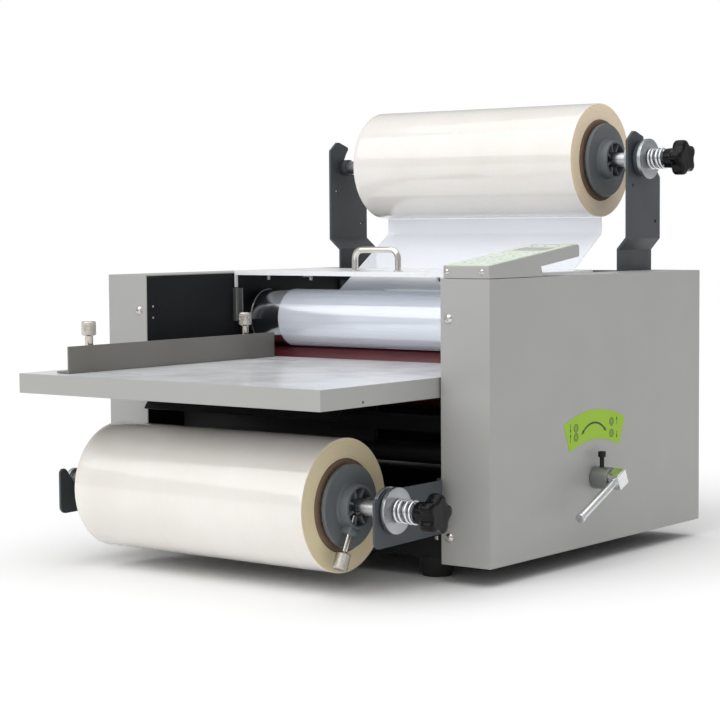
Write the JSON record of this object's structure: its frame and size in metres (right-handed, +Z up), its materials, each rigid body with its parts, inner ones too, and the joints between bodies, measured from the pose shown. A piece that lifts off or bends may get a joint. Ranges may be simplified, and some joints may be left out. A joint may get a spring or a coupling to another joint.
{
  "type": "desktop roll laminator",
  "caption": "Desktop roll laminator: driven pressure rollers between two sheet-steel housings, feed table with side guide, and upper and lower film supply mandrels.",
  "frame": {"origin": "centre of the overall bounding box in plan, on the surface that the feet stand on", "axes": "+Z up; +Y from the feed side towards the exit; +X across the machine towards the drive side with the control panel and pressure lever"},
  "size_m": [0.564, 0.637, 0.5035],
  "materials": {
    "paint_grey": "fine powder coat, satin",
    "paint_black": "fine powder coat, satin black",
    "paint_slate": "powder coat, matt slate",
    "paint_white": "smooth gloss paint",
    "guide_grey": "brushed and painted warm grey",
    "steel": "turned, plated",
    "nickel": "nickel plated, knurled",
    "chrome": "hard chrome, ground",
    "silicone_red": "ground silicone rubber, dark red",
    "rubber_black": "moulded rubber",
    "plastic_black": "moulded phenolic, gloss",
    "plastic_grey": "moulded nylon, satin",
    "card": "wound kraft board",
    "film": "clear laminating film wound solid, milky with an amber edge",
    "film_sheet": "thin translucent film",
    "label_green": "printed vinyl label, lime green",
    "overlay_green": "printed panel overlay, pale green"
  },
  "bodies": {
    "root": {"right_housing": "paint_grey", "left_housing": "paint_grey", "frame_plate_right": "paint_black", "frame_plate_left": "paint_black", "base_tray": "paint_black", "rear_panel": "paint_black", "film_guard": "paint_black", "table_rail_right": "paint_black", "table_rail_left": "paint_black", "front_foot_right": "rubber_black", "front_foot_left": "rubber_black", "rear_foot_right": "rubber_black", "rear_foot_left": "rubber_black", "lower_bracket_right": "paint_slate", "lower_bracket_left": "paint_slate", "upper_bracket_right": "paint_slate", "upper_bracket_left": "paint_slate", "rear_idler_bar": "chrome", "lower_idler_bar": "paint_black", "roller_bearing_right": "steel", "roller_bearing_left": "steel", "drive_motor": "steel", "panel_box": "paint_grey", "power_inlet": "plastic_black", "cover_hinge_rod": "steel", "film_web": "film_sheet"},
    "top_cover": {"top_cover": "paint_white", "cover_handle": "chrome"},
    "feed_table": {"feed_table": "paint_grey"},
    "side_guide": {"side_guide": "guide_grey"},
    "guide_screw_front": {"guide_screw_front": "nickel"},
    "guide_screw_rear": {"guide_screw_rear": "nickel"},
    "upper_roller": {"upper_roller": "chrome", "upper_roller_gear": "steel"},
    "lower_carriage": {"lower_carriage_right": "steel", "lower_carriage_left": "steel"},
    "lower_roller": {"lower_roller_shaft": "steel", "lower_roller_sleeve": "silicone_red", "lower_roller_gear": "steel"},
    "motor_pinion": {"motor_pinion": "steel"},
    "pressure_lever": {"pressure_shaft": "steel", "pressure_lever": "steel"},
    "power_rocker": {"power_switch_rocker": "plastic_black"},
    "lower_reel": {"lower_spindle": "chrome", "lower_core": "card", "lower_film_roll": "film", "lower_chuck_right": "plastic_grey", "lower_chuck_left": "plastic_grey", "lower_spring": "steel"},
    "lower_clamp": {"lower_clamp_screw": "nickel"},
    "lower_knob": {"lower_tension_knob": "plastic_black"},
    "upper_reel": {"upper_spindle": "chrome", "upper_core": "card", "upper_film_roll": "film", "upper_chuck_right": "plastic_grey", "upper_chuck_left": "plastic_grey", "upper_spring": "steel"},
    "upper_clamp": {"upper_clamp_screw": "nickel"},
    "upper_knob": {"upper_tension_knob": "plastic_black"}
  },
  "joints": [
    {"name": "top_cover_open", "type": "hinge", "parent": "root", "child": "top_cover", "pos_m": [-0.018, 0.1609, 0.3057], "axis": [-1, 0, 0], "range_deg": [0, 70]},
    {"name": "feed_table_slide", "type": "slide", "parent": "root", "child": "feed_table", "axis": [0, -1, 0], "range_m": [0, 0.12]},
    {"name": "side_guide_slide", "type": "slide", "parent": "feed_table", "child": "side_guide", "axis": [1, 0, 0], "range_m": [-0.015, 0.07]},
    {"name": "guide_screw_front_turn", "type": "hinge", "parent": "side_guide", "child": "guide_screw_front", "pos_m": [-0.1815, -0.2606, 0.2195], "axis": [0, 0, 1], "range_deg": [0, 360]},
    {"name": "guide_screw_rear_turn", "type": "hinge", "parent": "side_guide", "child": "guide_screw_rear", "pos_m": [-0.1815, -0.0071, 0.2195], "axis": [0, 0, 1], "range_deg": [0, 360]},
    {"name": "upper_roller_spin", "type": "hinge", "parent": "root", "child": "upper_roller", "pos_m": [-0.018, 0.0709, 0.255], "axis": [1, 0, 0], "continuous": true},
    {"name": "pressure_lever_turn", "type": "hinge", "parent": "root", "child": "pressure_lever", "pos_m": [-0.018, 0.0709, 0.092], "axis": [-1, 0, 0], "range_deg": [0, 90]},
    {"name": "lower_carriage_slide", "type": "slide", "parent": "root", "child": "lower_carriage", "axis": [0, 0, 1], "range_m": [-0.008, 0]},
    {"name": "lower_roller_spin", "type": "hinge", "parent": "lower_carriage", "child": "lower_roller", "pos_m": [-0.018, 0.0709, 0.189], "axis": [1, 0, 0], "continuous": true},
    {"name": "motor_pinion_spin", "type": "hinge", "parent": "root", "child": "motor_pinion", "pos_m": [-0.018, 0.1249, 0.255], "axis": [1, 0, 0], "continuous": true},
    {"name": "lower_reel_spin", "type": "hinge", "parent": "root", "child": "lower_reel", "pos_m": [-0.018, -0.2255, 0.0865], "axis": [1, 0, 0], "continuous": true},
    {"name": "lower_clamp_turn", "type": "hinge", "parent": "lower_reel", "child": "lower_clamp", "pos_m": [0.152, -0.2255, 0.0865], "axis": [0, -0.4226, -0.9063], "range_deg": [0, 360]},
    {"name": "lower_knob_turn", "type": "hinge", "parent": "lower_reel", "child": "lower_knob", "pos_m": [0.232, -0.2255, 0.0865], "axis": [1, 0, 0], "range_deg": [-360, 360]},
    {"name": "upper_reel_spin", "type": "hinge", "parent": "root", "child": "upper_reel", "pos_m": [-0.018, 0.2509, 0.4375], "axis": [1, 0, 0], "continuous": true},
    {"name": "upper_clamp_turn", "type": "hinge", "parent": "upper_reel", "child": "upper_clamp", "pos_m": [0.16, 0.2509, 0.4375], "axis": [0, 0.9659, -0.2588], "range_deg": [0, 360]},
    {"name": "upper_knob_turn", "type": "hinge", "parent": "upper_reel", "child": "upper_knob", "pos_m": [0.232, 0.2509, 0.4375], "axis": [1, 0, 0], "range_deg": [-360, 360]},
    {"name": "power_rocker_press", "type": "hinge", "parent": "root", "child": "power_rocker", "pos_m": [0.216, 0.3039, 0.109], "axis": [-1, 0, 0], "range_deg": [0, 14]}
  ],
  "couplings": [
    {"joint": "lower_roller_spin", "follows": "upper_roller_spin", "ratio": -1},
    {"joint": "motor_pinion_spin", "follows": "upper_roller_spin", "ratio": -1.5714},
    {"joint": "pressure_lever_turn", "follows": "lower_carriage_slide", "rad_per_m": -196.3}
  ]
}
